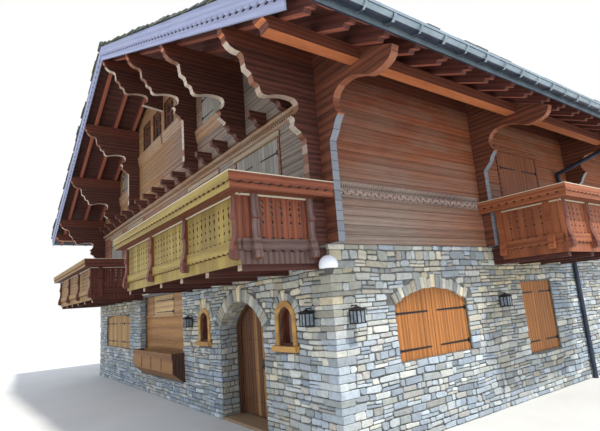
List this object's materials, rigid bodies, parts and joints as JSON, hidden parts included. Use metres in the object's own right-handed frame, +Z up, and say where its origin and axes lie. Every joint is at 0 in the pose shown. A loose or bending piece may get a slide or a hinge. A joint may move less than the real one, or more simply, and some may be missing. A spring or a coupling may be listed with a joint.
{
  "type": "alpine chalet",
  "caption": "Hollow alpine chalet with a rubble stone ground storey, a timber storey with carved balconies and consoles, and a low slate roof; the entrance door opens",
  "frame": {"origin": "on the ground under the middle of the roof", "axes": "+X to the right along the entrance gable, +Y from the entrance into the house, +Z up"},
  "size_m": [19.04, 15.956, 10.0449],
  "materials": {
    "stone": "rubble stone laid in mortar, matte",
    "floor_boards": "sawn boards",
    "siding": "stained horizontal boards, weathered",
    "carved_timber": "dark stained carved logs",
    "rafter_timber": "red-brown stained rafters and boards",
    "slate": "split stone slates, mossy",
    "barge": "weathered silver-blue boards",
    "zinc": "dull blue-grey sheet metal",
    "balcony_timber": "ochre stained boards",
    "door_timber": "dark brown planks",
    "iron": "black forged iron",
    "ochre_timber": "ochre stained timber",
    "glass": "clear glass",
    "lamp_white": "white opal globe"
  },
  "bodies": {
    "house": {"stone_front_right": "stone", "stone_over_door": "stone", "stone_front_left": "stone", "stone_right_wall": "stone", "stone_left_wall": "stone", "stone_back_wall": "stone", "ground_floor": "floor_boards", "first_floor": "floor_boards", "attic_floor": "floor_boards", "timber_front_wall": "siding", "timber_back_wall": "siding", "timber_right_wall": "siding", "timber_left_wall": "siding", "gable_front": "siding", "gable_back": "siding", "gable_mouldings": "carved_timber", "joist_ends": "carved_timber", "front_consoles": "carved_timber", "back_consoles": "carved_timber", "eave_consoles_right": "carved_timber", "eave_consoles_left": "carved_timber", "purlins": "carved_timber", "rafters": "rafter_timber", "roof_boards": "rafter_timber", "roof_slates": "slate", "ridge_slates": "slate", "barge_boards": "barge", "gutters": "zinc", "downpipes": "zinc", "balcony_floors": "balcony_timber", "near_balcony_rail": "balcony_timber", "far_balcony_rail": "balcony_timber", "side_balcony_rail": "balcony_timber", "door_frame": "door_timber", "door_hinges": "iron", "window_frames": "ochre_timber", "window_glass": "glass", "ground_shutters": "ochre_timber", "upper_shutters": "ochre_timber", "bay_panel": "ochre_timber", "planter_box": "ochre_timber", "lanterns": "iron", "globe_lamp": "lamp_white"},
    "leaf_left": {"door_leaf_left": "door_timber"},
    "leaf_right": {"door_leaf_right": "door_timber"}
  },
  "joints": [
    {"name": "entrance_left", "type": "hinge", "parent": "house", "child": "leaf_left", "pos_m": [3.7, -5.712, 0.345], "axis": [0, 0, 1], "range_deg": [0, 95]},
    {"name": "entrance_right", "type": "hinge", "parent": "house", "child": "leaf_right", "pos_m": [5.46, -5.712, 0.345], "axis": [0, 0, -1], "range_deg": [0, 95]}
  ]
}
